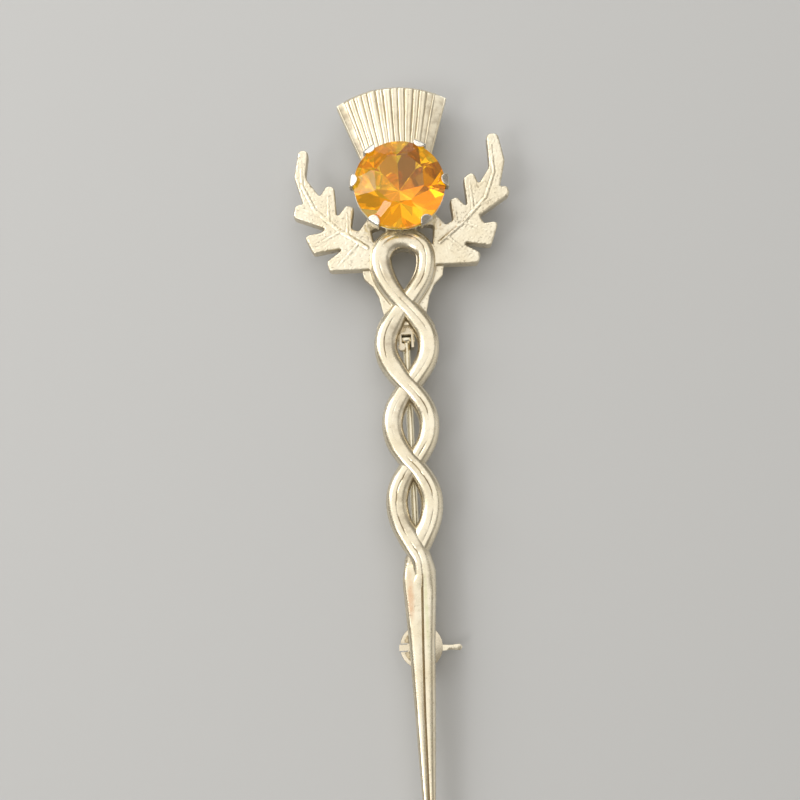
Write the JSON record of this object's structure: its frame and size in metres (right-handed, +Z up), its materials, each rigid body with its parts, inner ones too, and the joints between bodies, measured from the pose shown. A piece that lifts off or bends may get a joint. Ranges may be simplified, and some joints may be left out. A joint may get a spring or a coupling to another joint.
{
  "type": "thistle brooch",
  "caption": "Long cast metal brooch: claw-set round amber stone with thistle leaves and pleated tuft, open twisted stem, tapering blade, hinged pin and turning catch.",
  "frame": {"origin": "middle of the length and width, on the surface that the brooch lies on", "axes": "+X across to the wearer's left, +Y towards the thistle's tuft, +Z up out of the brooch's face"},
  "size_m": [0.0242, 0.0885, 0.0078],
  "materials": {
    "cast_silver": "satin",
    "bright_silver": "polished",
    "amber": "polished",
    "pin_steel": "satin"
  },
  "bodies": {
    "brooch": {"thistle_body": "cast_silver", "claw_setting": "bright_silver", "amber_stone": "amber", "hinge_rivet": "pin_steel"},
    "pin": {"brooch_pin": "pin_steel"},
    "catch": {"catch_sleeve": "cast_silver"}
  },
  "joints": [
    {"name": "pin_swing", "type": "hinge", "parent": "brooch", "child": "pin", "pos_m": [0, 0.0152, 0.00125], "axis": [1, 0, 0], "range_deg": [0, 80]},
    {"name": "catch_turn", "type": "hinge", "parent": "brooch", "child": "catch", "pos_m": [0, -0.01795, 0.00125], "axis": [0, 1, 0], "range_deg": [0, 90]}
  ]
}
